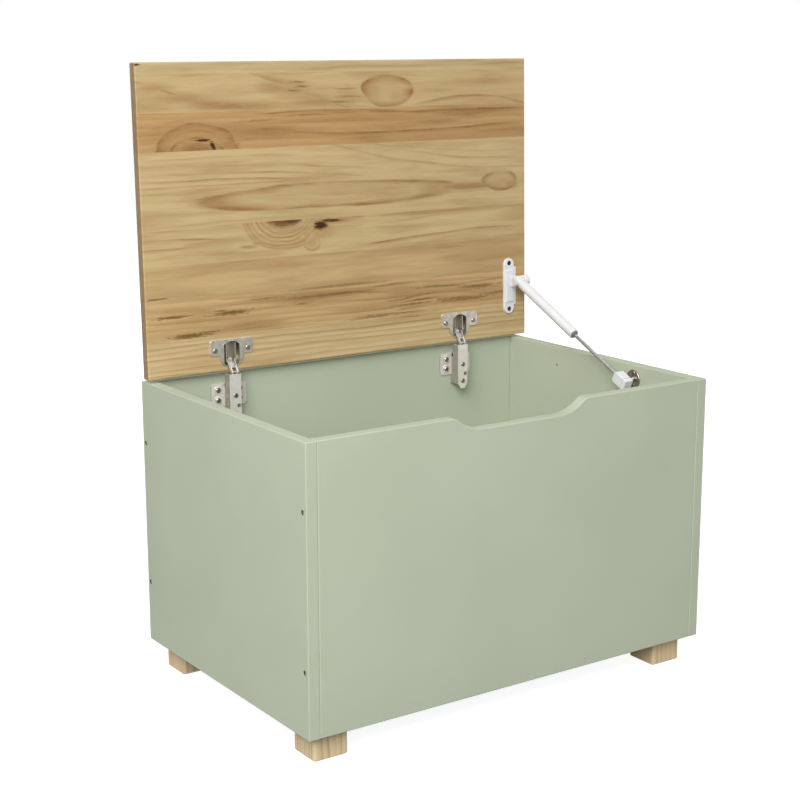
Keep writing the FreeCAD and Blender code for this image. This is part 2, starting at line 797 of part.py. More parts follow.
def hinge_nodes():
    nodes = {}
    lid_cuts = []
    wall_cuts = []
    fixed = {
        "hinge_arm": hinge_arm(),
        "hinge_arm_pins": group(arm_pins()),
        "hinge_plate": hinge_plate(),
        "hinge_plate_screws": screws(plate_spots(), fitting_screw),
        "hinge_adjusters": screws(adjuster_spots(), adjuster),
        "hinge_outer_link": outer_link(),
        "hinge_inner_link": inner_link(),
    }
    carried = {
        "hinge_cup": hinge_cup(),
        "hinge_cup_pins": group(cup_pins()),
        "hinge_cup_screws": screws(cup_spots(), fitting_screw),
    }
    for name, side in (("left", -1), ("right", 1)):
        x = side * (chest_width / 2 - hinge_inset)
        for part, shape in fixed.items():
            nodes[name + "_" + part] = moved(shape, x)
        for part, shape in carried.items():
            nodes[name + "_" + part] = lid_placed(moved(shape, x))
        lid_cuts += [moved(cup_bore(), x)] + holes(cup_spots(), fitting_screw, x)
        wall_cuts += holes(plate_spots(), fitting_screw, x)
    return nodes, lid_cuts, wall_cuts


def strut_nodes():
    return {
        "strut_lid_bracket": lid_placed(lid_bracket()),
        "strut_bracket_screws": lid_placed(screws(bracket_spots(), flush_screw)),
        "strut_pivot_pin": lid_placed(pivot_pin()),
        "strut_cylinder": strut_placed(strut_cylinder()),
        "strut_gland": strut_placed(strut_gland()),
        "strut_rod": strut_placed(strut_rod()),
        "strut_rod_end": strut_placed(rod_end()),
        "strut_ball_stud": strut_placed(ball_stud()),
        "strut_stud_plate": stud_plate(),
        "strut_plate_screws": screws(stud_plate_spots(), flush_screw),
    }


def carcass_nodes(wall_cuts):
    corner_cuts = holes(corner_spots(), corner_screw)
    dowels = base_dowels()
    feet = foot_spots()
    under = [(spot, V(0, 0, -1)) for spot in feet.values()]
    strut_cuts = holes(stud_plate_spots(), flush_screw)
    nodes = {
        "left_side_panel": side_panel(-1).cut(corner_cuts + dowels),
        "right_side_panel": side_panel(1).cut(corner_cuts + dowels + strut_cuts + [spare_hole()]),
        "front_panel": front_panel().cut(corner_cuts + dowels),
        "back_panel": back_panel().cut(corner_cuts + dowels + wall_cuts),
        "base_panel": base_panel().cut(dowels + holes(under, foot_screw)),
        "corner_screws": screws(corner_spots(), corner_screw),
        "base_dowels": group(dowels),
        "foot_screws": screws(under, foot_screw),
    }
    for name, spot in feet.items():
        nodes["foot_" + name] = foot(spot)
    return nodes


def main():
    os.makedirs("parts", exist_ok=True)
    nodes, lid_cuts, wall_cuts = hinge_nodes()
    nodes.update(carcass_nodes(wall_cuts))
    for number, stave in enumerate(lid_staves(lid_cuts + holes(bracket_spots(), flush_screw)), 1):
        nodes["lid_stave_%d" % number] = stave
    nodes.update(strut_nodes())
    for name, shape in nodes.items():
        shape.exportStep("parts/%s.step" % name)
    print(len(nodes), "nodes")
    outer_turn = link_turn(outer_arm, outer_cup)
    inner_turn = link_turn(inner_arm, inner_cup)
    before = stud - pivot
    after = stud - shut_pivot
    strut_turn = math.degrees(math.atan2(before.y * after.z - before.z * after.y, before.dot(after)))
    print("lid turns", lid_turn, "on the outer links", lid_turn - outer_turn, "about", outer_cup)
    print("outer links turn", outer_turn, "about", outer_arm)
    print("inner links turn", inner_turn, "about", inner_arm)
    print("strut turns", strut_turn - lid_turn, "on the lid about", pivot, "length", strut_length)
    print("rod travels", strut_travel, "along", (pivot - stud).normalize(), "stud", stud, "x", strut_x)


main()
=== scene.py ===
import bpy
import math
from mathutils import Matrix, Vector


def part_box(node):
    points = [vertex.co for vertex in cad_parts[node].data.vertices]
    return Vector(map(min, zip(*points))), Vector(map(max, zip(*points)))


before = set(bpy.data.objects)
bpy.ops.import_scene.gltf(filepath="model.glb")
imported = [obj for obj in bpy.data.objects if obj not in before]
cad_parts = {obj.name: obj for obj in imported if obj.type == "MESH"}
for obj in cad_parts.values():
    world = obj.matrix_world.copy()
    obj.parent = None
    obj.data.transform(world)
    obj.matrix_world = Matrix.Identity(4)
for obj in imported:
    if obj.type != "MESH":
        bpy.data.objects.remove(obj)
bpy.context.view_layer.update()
scene = bpy.context.scene
scene.view_settings.view_transform = "Standard"
print("frame loaded:", len(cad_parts), "nodes")

# the back edge of the lid's underside with the lid up, in metres, and its lean in degrees
lidPlane = {"at": (0.0, 0.173, 0.3854), "lean": 88.5}
noiseSpan = (0.3, 0.7)      # most of a noise's values lie between these


# hex colour as written in sRGB, to the linear values that shaders use
def linear(hexColour):
    steps = [int(hexColour[i:i + 2], 16) / 255 for i in (1, 3, 5)]
    return tuple(c / 12.92 if c <= 0.04045 else ((c + 0.055) / 1.055) ** 2.4 for c in steps) + (1.0,)


# one node: settings are attributes, links are values or sockets for its inputs, stops are a colour
# ramp's (place, hex colour) pairs; gives its outputs
def add(tree, kind, links=None, stops=(), **settings):
    made = tree.nodes.new("ShaderNode" + kind)
    for name, value in settings.items():
        setattr(made, name, value)
    for key, value in (links or {}).items():
        if isinstance(value, bpy.types.NodeSocket):
            tree.links.new(value, made.inputs[key])
        else:
            made.inputs[key].default_value = value
    if stops:                     # a new ramp has two stops: one goes and the other becomes the first
        marks = made.color_ramp.elements
        marks.remove(marks[-1])
        marks[0].position = stops[0][0]
        marks[0].color = linear(stops[0][1])
        for place, colour in stops[1:]:
            marks.new(place).color = linear(colour)
    return made.outputs


# a new material with its shader wired to the output; gives it, its node tree and the shader's inputs
def startMaterial(name, sockets):
    material = bpy.data.materials.new(name)
    material.use_nodes = True
    tree = material.node_tree
    tree.nodes.clear()
    shader = add(tree, "BsdfPrincipled", sockets)[0]
    add(tree, "OutputMaterial", {"Surface": shader})
    return material, tree, shader.node.inputs


# a surface's skin: wear moves the sheen between two roughnesses, height dents it by a hair
def giveSkin(tree, shader, wear, height, skin):
    low, high = skin["span"]
    atLow, atHigh = skin["sheen"]
    rough = add(tree, "MapRange", {0: wear, 1: low, 2: high, 3: atLow, 4: atHigh})[0]
    tree.links.new(rough, shader["Roughness"])
    bump = add(tree, "Bump", {"Height": height, "Strength": skin["dent"],
                              "Distance": skin["depthMm"] / 1000})[0]
    tree.links.new(bump, shader["Normal"])


# 1 for what the eye meets straight on, in a gloss or through something clear, else 0
def seenByEye(tree):
    path = add(tree, "LightPath")
    seen = add(tree, "Math", {0: path["Is Camera Ray"], 1: path["Is Glossy Ray"]}, operation="MAXIMUM")[0]
    return add(tree, "Math", {0: seen, 1: path["Is Transmission Ray"]}, operation="MAXIMUM")[0]


# rises to the given share on faces turned toward either end of the chest
def towardEnds(tree, normal, share, start=0.6, full=0.95):
    facing = add(tree, "SeparateXYZ", {0: normal})[0]
    facing = add(tree, "Math", {0: facing}, operation="ABSOLUTE")[0]
    return add(tree, "MapRange", {0: facing, 1: start, 2: full, 3: 0.0, 4: share})[0]


# millimetres from a point, in axes turned about x
def localMm(tree, place, plane):
    return add(tree, "Mapping", {"Vector": place, "Location": plane["at"], "Scale": (0.001, 0.001, 0.001),
                                 "Rotation": (math.radians(plane["lean"]), 0, 0)}, vector_type="TEXTURE")[0]


# growth rings from a running count: each ring's own strength, and the place within the ring
def growRings(tree, count, weakest, strongest):
    number = add(tree, "Math", {0: count}, operation="FLOOR")[0]
    chance = add(tree, "TexWhiteNoise", {"W": number}, noise_dimensions="1D")[0]
    strength = add(tree, "MapRange", {0: chance, 3: weakest, 4: strongest})[0]
    return strength, add(tree, "Math", {0: count}, operation="FRACT")[0]


def dress(material, *nodeNames):
    for nodeName in nodeNames:
        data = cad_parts[nodeName].data
        data.materials.clear()
        data.materials.append(material)


# camera: the photograph's eye point, solved from the carcass corners
photoView = {
    "eye": (-1.194463, -1.678657, 0.807874),
    "azimuth": 34.559,
    "downward": 12.412,
    "roll": -0.071,
    "lens": 74.238,
    "sensor": 36.0,
    "clipStart": 0.05,
}


def makeCamera(view):
    az, down, roll = (math.radians(view[k]) for k in ("azimuth", "downward", "roll"))
    ahead = Vector((math.sin(az) * math.cos(down), math.cos(az) * math.cos(down), -math.sin(down)))
    right = Vector((math.cos(az), -math.sin(az), 0))
    up = right.cross(ahead)
    across = right * math.cos(roll) + up * math.sin(roll)
    above = up * math.cos(roll) - right * math.sin(roll)
    lens = bpy.data.cameras.new("photoCamera")
    lens.lens = view["lens"]
    lens.sensor_width = view["sensor"]
    lens.clip_start = view["clipStart"]
    camera = bpy.data.objects.new("photoCamera", lens)
    scene.collection.objects.link(camera)
    turn = Matrix((across, above, -ahead)).transposed().to_4x4()
    camera.matrix_world = Matrix.Translation(view["eye"]) @ turn
    scene.camera = camera


makeCamera(photoView)
print("camera placed")


# studio: soft white surround, broad lamps, pale floor
studio = {
    "surround": 0.31,        # what the white surround gives the chest
    "backdrop": 1.0,         # what the camera sees of it
    "white": "#FFFFFF",
    "lamps": {
        "keyLamp": {"at": (-2.0, -2.0, 2.2), "aim": (0.0, 0.0, 0.3), "size": (2.2, 2.2), "power": 141.0},
        "topLamp": {"at": (0.2, -0.6, 3.0), "aim": (0.0, 0.0, 0.3), "size": (2.4, 2.0), "power": 6.0},
        "rightLamp": {"at": (3.0, 0.3, 0.75), "aim": (0.0, 0.0, 0.25), "size": (1.8, 1.2), "power": 34.0},
        "rearLamp": {"at": (0.2, 3.0, 0.75), "aim": (0.0, 0.0, 0.3), "size": (1.8, 1.2), "power": 38.0},
    },
    "floor": "#E4E4E4",      # as the camera sees it
    "bounce": "#8F8F8F",     # what it throws back at the chest
    "floorShade": 0.5,       # how much of its own shading the camera sees
    "floorGlow": 1.78,
    "floorRough": 0.9,
    "floorHalf": 9.0,        # metres
}


def makeStudio(look):
    world = bpy.data.worlds.new("whiteStudio")
    scene.world = world
    world.use_nodes = True
    tree = world.node_tree
    tree.nodes.clear()
    white = linear(look["white"])
    lit = add(tree, "Background", {"Color": white, "Strength": look["surround"]})[0]
    shown = add(tree, "Background", {"Color": white, "Strength": look["backdrop"]})[0]
    mixed = add(tree, "MixShader", {0: seenByEye(tree), 1: lit, 2: shown})[0]
    add(tree, "OutputWorld", {"Surface": mixed})

    for name, lamp in look["lamps"].items():
        light = bpy.data.lights.new(name, "AREA")
        light.shape = "RECTANGLE"
        light.size, light.size_y = lamp["size"]
        light.energy = lamp["power"]
        holder = bpy.data.objects.new(name, light)
        scene.collection.objects.link(holder)
        place = Vector(lamp["at"])
        aim = (Vector(lamp["aim"]) - place).to_track_quat("-Z", "Y")
        holder.matrix_world = Matrix.Translation(place) @ aim.to_matrix().to_4x4()

    mesh = bpy.data.meshes.new("studioFloor")
    half = look["floorHalf"]
    corners = [(-half, -half, 0), (half, -half, 0), (half, half, 0), (-half, half, 0)]
    mesh.from_pydata(corners, [], [(0, 1, 2, 3)])
    floor = bpy.data.objects.new("studioFloor", mesh)
    scene.collection.objects.link(floor)
    # matt white floor: shades softly, and reads as the white surround to the camera
    matt = {"Roughness": look["floorRough"], "Specular IOR Level": 0.0}
    material, tree, shader = startMaterial("mattWhiteFloor", matt)
    seen = seenByEye(tree)
    tones = {0: seen, 6: linear(look["bounce"]), 7: linear(look["floor"])}
    tree.links.new(add(tree, "Mix", tones, data_type="RGBA")[2], shader["Base Color"])
    share = add(tree, "Math", {0: seen, 1: 1 - look["floorShade"]}, operation="MULTIPLY")[0]
    glow = add(tree, "Emission", {"Color": white, "Strength": look["floorGlow"]})[0]
    own = shader["Base Color"].node.outputs[0]
    surface = own.links[0].to_socket
    mixed = add(tree, "MixShader", {0: share, 1: own, 2: glow})[0]
    tree.links.new(mixed, surface)
    mesh.materials.append(material)


makeStudio(studio)
print("studio lit")


# sage green satin paint, rolled on fine board: even colour, soft sheen, a faint roller stipple
sagePaint = {
    "colour": "#B5BDA8",
    "shade": "#B1B9A4",
    "tones": (0.3, 0.62),    # mottle values of the shade and of the full colour
    "mottleMm": 160.0,
    "stippleMm": 2.2,        # real stipple is about 1 mm: drawn coarser so that it shows
    "ior": 1.2,
    "skin": {"span": noiseSpan, "sheen": (0.6, 0.7), "dent": 0.5, "depthMm": 0.02},
    # screw holes and the spare hole, where the paint stops and the hole is drawn near black, bare board
    # deepened with
    # painted shade, both sides alike: (x, y, z, half depth, half width) in mm
    "holes": [(299.0, 192.5, 115.0, 0.95, 6.0), (299.0, 192.5, 301.0, 0.95, 6.0),
              (289.6, 78.5, 355.3, 4.45, 4.0)],
    "holeEdge": 0.9,         # where a hole's dark starts to fade, as a share of its size
    "bareBoardAndShade": "#2B241B",
}


def makePaint(look):
    material, tree, shader = startMaterial("satinSagePaint", {"IOR": look["ior"]})
    place = add(tree, "TexCoord")["Object"]
    mottle = add(tree, "TexNoise", {"Vector": place, "Scale": 1000 / look["mottleMm"], "Detail": 2.0})[0]
    shadeAt, colourAt = look["tones"]
    tone = add(tree, "ValToRGB", {0: mottle}, [(shadeAt, look["shade"]), (colourAt, look["colour"])])[0]
    mirrored = add(tree, "VectorMath", {0: place}, operation="ABSOLUTE")[0]
    # the holes drawn near black: bare board with painted shade
    for x, y, z, deep, wide in look["holes"]:
        near = add(tree, "Mapping", {"Vector": mirrored, "Location": (x / 1000, y / 1000, z / 1000),
                                     "Scale": (deep / 1000, wide / 1000, wide / 1000)},
                   vector_type="TEXTURE")[0]
        far = add(tree, "VectorMath", {0: near}, operation="LENGTH")["Value"]
        inside = add(tree, "MapRange", {0: far, 1: look["holeEdge"], 2: 1.0, 3: 1.0, 4: 0.0})[0]
        tone = add(tree, "Mix", {0: inside, 6: tone, 7: linear(look["bareBoardAndShade"])}, data_type="RGBA")[2]
    tree.links.new(tone, shader["Base Color"])
    stipple = add(tree, "TexNoise", {"Vector": place, "Scale": 1000 / look["stippleMm"], "Detail": 2.0})[0]
    giveSkin(tree, shader, stipple, stipple, look["skin"])
    return material


dress(makePaint(sagePaint), "left_side_panel", "right_side_panel", "front_panel", "back_panel", "base_panel")
print("carcass painted")


# honey oiled pine, edge-glued in staves: growth rings cut along the board give soft bands, flames and
# ovals, with knots, sap stain, fine fibres and a low sheen. Millimetres: x from the chest's middle,
# u up from the lid's back edge.
#   pith: the log's heart (x, u, depth) with bow and tilt, which shape the faint rings of the stave
#   ring: a ring's width; rings: how strongly the rings show
#   bands: (from x, to x, middle x, u there, slope, curve, width, amount) late wood, soft below its
#          line, or above it with a negative width
#   ovals: (x, u, half length, half height, width, amount) rings cut through a bump, soft inside
#   clouds: (x, u, half length, half height, amount) broad brown drifts
#   hearts: the same, for brown patches with a clearer edge
#   streaks: the same, for grey-brown sap stain
#   knots: the same, for dark knot wood
#   flecks: how strongly short dark pores show in the brown
pineStaves = {
    1: {
        "early": "#CBB387", "late": "#967444", "pith": (-420, -60, 30), "bow": 6e-6, "tilt": 0.012,
        "ring": 6.6, "rings": 0.6,
        "clouds": [(120, 40, 150, 8, 0.3), (260, 20, 90, 20, 0.25), (-200, 12, 120, 9, 0.2)],
        "bands": [(30, 130, 80, 45, -0.03, 0.0, 4.0, 1.0), (-60, 60, 0, 31, 0.02, 0.0, 4.0, 0.45)],
    },
    2: {
        "early": "#C3A474", "late": "#7E552C", "pith": (260, 130, 24), "bow": 1.2e-5, "tilt": -0.018,
        "ring": 7.0, "rings": 0.36, "flecks": 0.5,
        "clouds": [(-150, 56, 60, 10, 0.45), (-60, 88, 140, 7, 0.45), (120, 74, 150, 9, 0.4),
                   (250, 60, 90, 10, 0.3), (-230, 70, 80, 6, 0.3), (30, 60, 90, 6, 0.3)],
        "bands": [(-80, 100, 10, 87, -0.06, 0.0, 6.0, 0.9), (10, 310, 150, 74, 0.03, -0.0001, 5.0, 0.85),
                  (50, 290, 160, 60, 0.05, 0.0, 5.0, 0.85), (-310, -60, -200, 76, 0.02, 0.0, 5.0, 0.5),
                  (10, 140, 70, 52, -0.02, 0.0, 4.0, 0.9), (130, 310, 220, 86, 0.05, 0.0, 5.0, 0.7)],
        "streaks": [(-265, 79, 32, 2.2, 1.0), (-180, 77, 34, 4.2, 1.0), (-195, 81, 14, 1.4, 1.0),
                    (-240, 53, 40, 4.2, 1.0), (-215, 56, 20, 1.6, 1.0), (-128, 91, 34, 2.4, 0.6),
                    (-20, 88, 70, 2.4, 0.7), (-75, 78, 14, 1.6, 0.7), (38, 50, 44, 2.0, 0.7),
                    (105, 62, 50, 2.4, 0.8), (190, 63, 60, 3.4, 0.8), (218, 79, 40, 3.4, 0.9),
                    (120, 67, 40, 1.8, 0.8), (150, 83, 50, 2.0, 0.7), (255, 66, 40, 2.4, 0.7),
                    (70, 92, 40, 1.8, 0.6)],
    },
    3: {
        "early": "#BFA576", "late": "#8E653A", "pith": (60, 160, 50), "bow": 3.2e-5, "tilt": 0.0,
        "ring": 13.0, "rings": 0.2,
        "clouds": [(-180, 138, 150, 10, 0.35), (130, 137, 150, 11, 0.35), (255, 122, 100, 22, 0.45),
                   (0, 100, 200, 7, 0.3), (-260, 108, 60, 12, 0.25)],
        "bands": [(-330, 330, 0, 142, 0.0, 0.0, 14.0, 0.5),
                  (-40, 330, 180, 139, -0.02, -0.00008, 12.0, 0.6),
                  (-330, 330, 0, 102, 0.01, 0.0, 8.0, 0.4)],
        "streaks": [(-286, 103, 20, 1.6, 0.9), (-20, 98, 90, 1.8, 0.5)],
    },
    4: {
        "early": "#C0A97B", "late": "#8A6034", "pith": (-60, 260, 42), "bow": 1.4e-5, "tilt": 0.01,
        "ring": 13.0, "rings": 0.16,
        "clouds": [(-98, 180, 40, 16, 0.25), (-20, 186, 50, 5, 0.5), (190, 187, 110, 5, 0.4),
                   (-42, 170, 20, 12, 0.35), (240, 158, 70, 8, 0.25), (-200, 186, 60, 5, 0.25)],
        "bands": [(-330, -150, -230, 187, -0.02, 0.0, 5.0, 0.5),
                  (-330, -145, -260, 174, 0.0, -0.0005, 5.0, 0.75),
                  (-330, -160, -250, 164, -0.01, 0.0, 5.0, 0.6),
                  (-240, -80, -170, 153, -0.02, 0.0, 5.0, 0.5),
                  (-20, 330, 230, 159, 0.0, -0.0002, 7.0, 0.8), (0, 330, 160, 190, 0.0, 0.0, 6.0, 0.75),
                  (-45, 40, -10, 189, 0.03, 0.0, 4.0, 1.0), (30, 240, 110, 181, 0.05, 0.0, 6.0, 0.45)],
        "ovals": [(-98, 191, 34, 17, 5.0, 0.6), (-99, 192, 41, 23, 5.0, 0.75),
                  (-101, 193, 48, 29, 6.0, 0.6), (-100, 194, 56, 36, 8.0, 0.7),
                  (-96, 196, 66, 43, 12.0, 0.6), (-57, 161, 13, 13, 9.0, 0.55)],
        "hearts": [(-98, 190, 29, 13, 0.9), (-154, 160, 17, 3.4, 0.5), (-140, 165, 10, 3, 0.5),
                   (-57, 160, 12, 11, 0.35)],
        "knots": [(-100, 190, 26, 9.5, 0.55), (-86, 188, 14, 5.0, 0.75), (-44, 181, 11, 6.5, 1.0),
                  (-28, 187, 20, 2.6, 0.9), (-112, 191, 12, 4.0, 0.7)],
    },
    5: {
        "early": "#BFA87A", "late": "#8B653A", "pith": (-36, 300, 60), "bow": 1.3e-5, "tilt": 0.0,
        "ring": 14.0, "rings": 0.14,
        "clouds": [(190, 220, 62, 9, 0.35), (60, 232, 170, 5, 0.25), (-40, 219, 190, 16, 0.2),
                   (258, 225, 30, 13, 0.25)],
        "bands": [(-330, -120, -220, 236, 0.01, 0.0, 8.0, 0.45),
                  (-330, 20, -200, 195, 0.0, -0.0001, 8.0, 0.4),
                  (60, 330, 180, 200, -0.02, 0.0, 7.0, 0.3)],
        "ovals": [(-22, 219.5, 199, 16.5, 9.0, 0.95), (257, 225, 29, 13, 11.0, 0.9)],
        "hearts": [(-200, 217, 24, 5, 0.5), (155, 220, 40, 12, 0.5), (200, 220, 56, 6.5, 0.75),
                   (276, 219, 18, 8, 0.6)],
    },
    6: {
        "early": "#C0A97C", "late": "#906B40", "pith": (-300, 180, 30), "bow": 1.0e-5, "tilt": 0.02,
        "ring": 14.0, "rings": 0.12,
        "clouds": [(-40, 244, 120, 6, 0.2), (220, 242, 90, 5, 0.2)],
        "bands": [(-330, 80, -200, 265, 0.0, -0.00022, 6.0, 0.55),
                  (-330, 60, -230, 257, -0.01, -0.00018, 5.0, 0.7),
                  (-330, 20, -230, 249, -0.02, -0.0001, 5.0, 0.75),
                  (-330, -50, -240, 242, -0.01, 0.0, 5.0, 0.65),
                  (-80, 340, 297, 244, 0.0, 0.0004, 7.0, 0.6),
                  (-80, 340, 297, 256, 0.0, 0.00045, 7.0, 0.5),
                  (20, 340, 297, 268, 0.0, 0.0003, 6.0, 0.4),
                  (-330, -50, -240, 276, 0.0, -0.0001, 6.0, 0.4)],
    },
    7: {
        "early": "#B59362", "late": "#784A22", "pith": (200, 372, 26), "bow": 2.0e-5, "tilt": 0.006,
        "ring": 9.0, "rings": 0.24, "flecks": 0.6,
        "clouds": [(160, 292, 170, 8, 0.25), (180, 323, 150, 6, 0.25), (-120, 303, 90, 11, 0.35),
                   (-270, 308, 50, 12, 0.25), (0, 319, 140, 8, 0.25)],
        "bands": [(0, 340, 200, 326, -0.01, 0.0, 8.0, 0.9), (-40, 340, 150, 300, 0.02, 0.0002, 10.0, 0.8),
                  (-160, 80, -60, 304, -0.07, 0.0002, 10.0, 0.65),
                  (-170, 130, 0, 330, 0.0, 0.0, 4.0, 0.6)],
        "ovals": [(-222, 283, 56, 37, 22.0, 0.8), (-224, 283, 44, 27, 10.0, 0.5),
                  (-224, 283, 36, 19, 9.0, 0.75)],
        "hearts": [(-222, 284, 36, 17, 0.65), (-218, 284, 22, 9, 0.7), (-262, 288, 26, 10, 0.4),
                   (-176, 290, 20, 9, 0.45)],
        "streaks": [(-130, 321, 30, 2.4, 0.5), (-60, 325, 34, 1.8, 0.5), (0, 327, 30, 1.6, 0.45)],
        "knots": [(-212, 299, 11, 1.8, 1.0), (-200, 291, 3.4, 8.0, 1.0), (-222, 283, 24, 2.6, 0.6)],
    },
    8: {
        "early": "#BDA577", "late": "#8C6336", "pith": (70, 260, 40), "bow": 1.4e-5, "tilt": -0.03,
        "ring": 14.0, "rings": 0.14, "flecks": 0.35,
        "clouds": [(-112, 362, 28, 10, 0.4), (-82, 352, 36, 10, 0.4), (-45, 342, 38, 9, 0.4),
                   (230, 335, 100, 8, 0.25), (220, 362, 100, 14, 0.3), (-285, 345, 40, 11, 0.3),
                   (-278, 363, 30, 8, 0.45), (-240, 351, 36, 9, 0.5), (-200, 341, 44, 8, 0.5),
                   (-140, 337, 50, 6, 0.3), (5, 349, 26, 13, 0.25), (45, 343, 22, 9, 0.25)],
        "bands": [(-350, -180, -250, 354, -0.36, 0.0, 12.0, 0.65),
                  (-170, 35, -60, 352, -0.33, 0.0, -24.0, 0.6),
                  (90, 350, 200, 345, 0.0, -0.0012, 9.0, 0.75),
                  (-205, 70, -60, 335, 0.0, 0.0, 5.0, 0.45)],
        "ovals": [(67, 355, 39, 21, 19.0, 0.85)],
        "hearts": [(42, 355, 16, 17, 0.4), (68, 354, 42, 20, 0.2), (84, 346, 24, 9, 0.3)],
        "streaks": [(-72, 367, 16, 2.4, 0.75), (-66, 361, 14, 2.0, 0.75), (-80, 356, 12, 1.8, 0.6),
                    (0, 357, 24, 1.8, 0.5), (8, 346, 24, 1.8, 0.5), (-10, 340, 18, 1.4, 0.6)],
    },
    9: {
        "early": "#BBA77C", "late": "#906B3E", "pith": (100, 440, 30), "bow": 1.4e-5, "tilt": 0.01,
        "ring": 9.0, "rings": 0.2,
        "clouds": [(60, 386, 130, 3, 0.3), (262, 386, 60, 5, 0.45)],
        "bands": [(-110, 170, 30, 387, 0.02, -0.0001, 5.0, 0.65)],
        "knots": [(-298, 391, 5, 1.6, 0.9)],
    },
}
pineFinish = {
    "ior": 1.32,
    # noise drawn out along the board: (run in mm, width in mm, detail, offset)
    "grains": {
        "fibre": (30, 0.9, 3.0, 0.0),      # real fibres are finer: drawn this coarse so that they show
        "pores": (9, 0.8, 2.0, 7.0),
        "patches": (70, 12, 2.0, 13.0),
        "sway": (180, 24, 1.0, 0.0),
        "ripple": (50, 7, 2.0, 4.0),
        "bulge": (70, 26, 1.0, 9.0),
        "drift": (130, 15, 3.0, 0.0),
    },
    "swayMm": 9.0,           # how far the long sway, the short ripple and the bulge move the figure
    "rippleMm": 2.4,
    "bulgeMm": 18.0,
    "patchy": (0.45, 1.15),  # late wood comes and goes between these
    "hairline": -0.7,        # and the fibres cut into it by this
    # late wood across its width, up to its line; it stops soon after
    "swell": [(0.0, "#000000"), (0.28, "#7C7C7C"), (0.52, "#BCBCBC"), (0.7, "#EBEBEB"), (0.8, "#FFFFFF")],
    "swellStop": 1.8,        # over about 2 mm
    "faintest": 0.4,         # the faintest ring beside the strongest
    "ringRise": (0.2, 0.95),
    "driftSpan": (0.42, 0.75),
    "driftShare": 0.5,
    "bandRagged": 1.2,
    "bandFade": 0.55,        # a band keeps its strength over this share of its run
    "ovalRagged": 0.12,
    "clouds": {"ragged": 0.5, "inner": 0.1, "outer": 1.25},
    "cloudShare": 0.8,
    "hearts": {"ragged": 1.1, "inner": 0.35, "outer": 1.2},
    "streaks": {"ragged": 2.6, "inner": 0.3, "outer": 1.1, "colour": "#74592F"},
    "knots": {"ragged": 1.6, "inner": 0.55, "outer": 1.1, "colour": "#3A1A02"},
    "fleckSpan": (0.56, 0.7),
    "flecks": 0.2,           # for a stave that gives none
    "fibreShade": (1.06, 0.93),
    "endGrain": "#6C5538",   # the sawn ends are drawn darker
    "endShare": 0.72,
    "skin": {"span": noiseSpan, "sheen": (0.45, 0.56), "dent": 0.35, "depthMm": 0.06},
}


